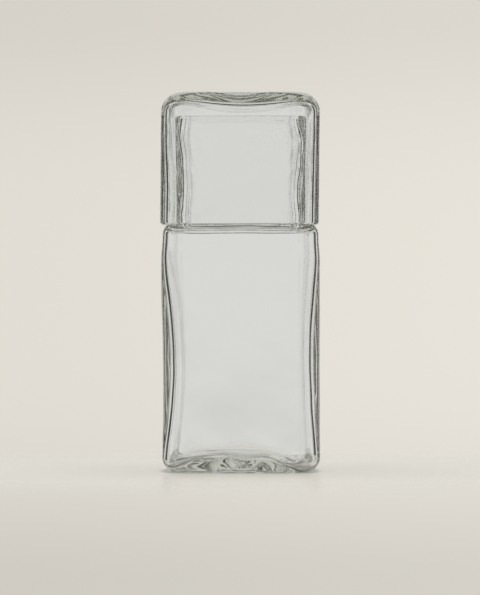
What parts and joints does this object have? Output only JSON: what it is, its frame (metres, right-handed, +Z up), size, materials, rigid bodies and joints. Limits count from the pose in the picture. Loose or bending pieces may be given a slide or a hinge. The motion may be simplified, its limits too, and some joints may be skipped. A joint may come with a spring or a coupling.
{
  "type": "bedside carafe with tumbler",
  "caption": "Square thick-walled clear glass carafe with sunken sides and a wide square neck, closed by its square drinking tumbler turned upside down over the neck.",
  "frame": {"origin": "middle of the carafe's foot, on the surface that it stands on", "axes": "+Z up along the carafe's height, which is the longest extent; +X to the right and +Y away from the viewer in the picture, across the flat sides"},
  "size_m": [0.085, 0.085, 0.2037],
  "materials": {
    "carafe_glass": "clear mould-blown glass, glossy, slightly wavy, with a faint grey-green tint in its thick edges",
    "tumbler_glass": "clear mould-blown glass, glossy, slightly wavy, with a fire-polished rim"
  },
  "bodies": {
    "carafe": {"carafe": "carafe_glass"},
    "tumbler": {"tumbler": "tumbler_glass"}
  },
  "joints": [
    {"name": "tumbler_lift", "type": "slide", "parent": "carafe", "child": "tumbler", "axis": [0, 0, 1], "range_m": [0, 0.13]}
  ]
}
